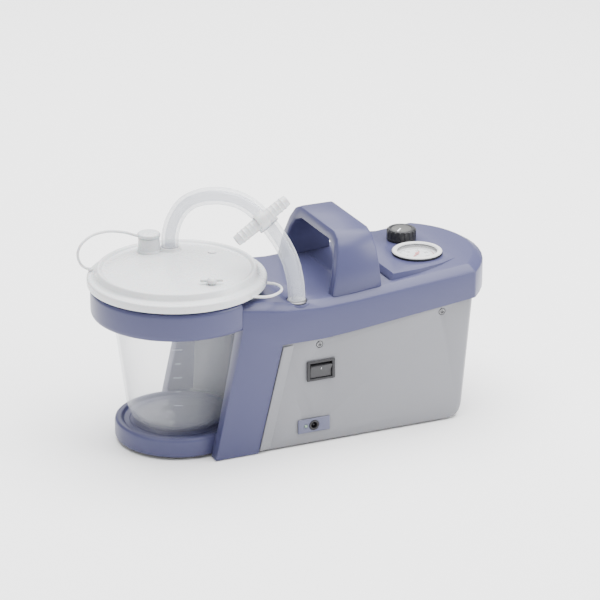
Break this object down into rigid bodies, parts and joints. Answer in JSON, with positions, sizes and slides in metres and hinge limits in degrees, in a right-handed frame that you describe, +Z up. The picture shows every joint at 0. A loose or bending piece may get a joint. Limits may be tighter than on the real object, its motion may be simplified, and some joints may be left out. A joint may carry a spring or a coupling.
{
  "type": "suction pump",
  "caption": "Portable suction pump: blue and grey housing with a carry handle, vacuum gauge, knob and rocker switch, and a lidded clear jar joined by a hose.",
  "frame": {"origin": "middle of the body's bounding box, on the surface that the feet stand on", "axes": "+X from the jar to the far end of the housing, +Y from the switch side to the back, +Z up"},
  "size_m": [0.3346, 0.1436, 0.2071],
  "materials": {
    "blue_plastic": "satin blue-violet ABS, fine moulded grain",
    "grey_plastic": "satin light grey ABS",
    "clear_plastic": "clear polycarbonate",
    "milky_plastic": "translucent white polypropylene",
    "silicone": "translucent silicone",
    "black_plastic": "black plastic, light sheen",
    "dark_grey": "dark grey plastic",
    "plate_grey": "grey-violet printed plate",
    "dial_white": "white printed dial",
    "rubber": "black rubber",
    "steel": "plated steel",
    "brass": "turned brass",
    "aluminium": "die-cast aluminium",
    "board_green": "circuit board",
    "lamp_green": "green lamp lens",
    "needle_red": "red painted needle"
  },
  "bodies": {
    "housing": {"top_cover": "blue_plastic", "carry_handle": "blue_plastic", "jar_collar": "blue_plastic", "jar_tray": "blue_plastic", "lower_shell": "grey_plastic", "base_plate": "dark_grey", "front_foot": "rubber", "rear_foot": "rubber", "near_screw_front": "steel", "near_screw_rear": "steel", "far_screw_front": "steel", "far_screw_rear": "steel", "handle_screw_near": "steel", "handle_screw_far": "steel", "base_screw_near": "steel", "base_screw_far": "steel", "hose_nipple": "dark_grey", "gauge_case": "black_plastic", "gauge_dial": "dial_white", "gauge_lens": "clear_plastic", "gauge_bezel": "dial_white", "regulator_body": "brass", "switch_frame": "black_plastic", "switch_contacts": "brass", "inlet_plate": "plate_grey", "dc_jack": "black_plastic", "charge_lamp": "lamp_green", "pump_body": "aluminium", "diaphragm": "rubber", "valve_plate": "aluminium", "pump_head": "dark_grey", "pump_bracket": "steel", "front_mount": "rubber", "rear_mount": "rubber", "motor_can": "steel", "pump_inlet_hose": "silicone", "gauge_hose": "silicone", "battery_pack": "dark_grey", "charger_board": "board_green"},
    "jar": {"jar": "clear_plastic"},
    "lid": {"jar_lid": "milky_plastic", "lid_gasket": "silicone", "cap_tether": "milky_plastic", "lid_loop": "milky_plastic", "float_cage": "milky_plastic", "float_seal": "rubber"},
    "port_cap": {"port_cap": "milky_plastic"},
    "vent_plug": {"vent_plug": "milky_plastic"},
    "float": {"float_ball": "dial_white"},
    "hose": {"vacuum_hose": "silicone", "catheter_connector": "milky_plastic", "hose_clip": "milky_plastic"},
    "knob": {"vacuum_knob": "black_plastic", "regulator_stem": "steel"},
    "needle": {"gauge_needle": "needle_red"},
    "rocker": {"switch_rocker": "dark_grey"},
    "shaft": {"motor_shaft": "steel", "eccentric": "steel"},
    "rod": {"connecting_rod": "aluminium", "crank_bearing": "steel"}
  },
  "joints": [
    {"name": "jar_lift", "type": "slide", "parent": "housing", "child": "jar", "axis": [0, 0, 1], "range_m": [0, 0.12]},
    {"name": "lid_lift", "type": "slide", "parent": "jar", "child": "lid", "axis": [0, 0, 1], "range_m": [0, 0.06]},
    {"name": "hose_pull", "type": "slide", "parent": "lid", "child": "hose", "axis": [0, 0, 1], "range_m": [0, 0.03]},
    {"name": "cap_lift", "type": "slide", "parent": "lid", "child": "port_cap", "axis": [0, 0, 1], "range_m": [0, 0.01]},
    {"name": "vent_pull", "type": "slide", "parent": "lid", "child": "vent_plug", "axis": [0, 0, 1], "range_m": [0, 0.01]},
    {"name": "float_rise", "type": "slide", "parent": "lid", "child": "float", "axis": [0, 0, 1], "range_m": [0, 0.0112]},
    {"name": "knob_turn", "type": "hinge", "parent": "housing", "child": "knob", "pos_m": [0.1124, 0.0208, 0.1315], "axis": [0, 0, 1], "range_deg": [-135, 135]},
    {"name": "needle_swing", "type": "hinge", "parent": "housing", "child": "needle", "pos_m": [0.1095, -0.0149, 0.1315], "axis": [0, 0, -1], "range_deg": [0, 270]},
    {"name": "rocker_tilt", "type": "hinge", "parent": "housing", "child": "rocker", "pos_m": [0.0025, -0.056, 0.0638], "axis": [-1, 0, 0], "range_deg": [0, 20]},
    {"name": "motor_spin", "type": "hinge", "parent": "housing", "child": "shaft", "pos_m": [0.0374, -0.022, 0.038], "axis": [1, 0, 0], "continuous": true},
    {"name": "rod_swing", "type": "hinge", "parent": "shaft", "child": "rod", "pos_m": [0.0374, -0.022, 0.035], "axis": [1, 0, 0], "continuous": true}
  ],
  "couplings": [
    {"joint": "rod_swing", "follows": "motor_spin", "ratio": -1}
  ]
}
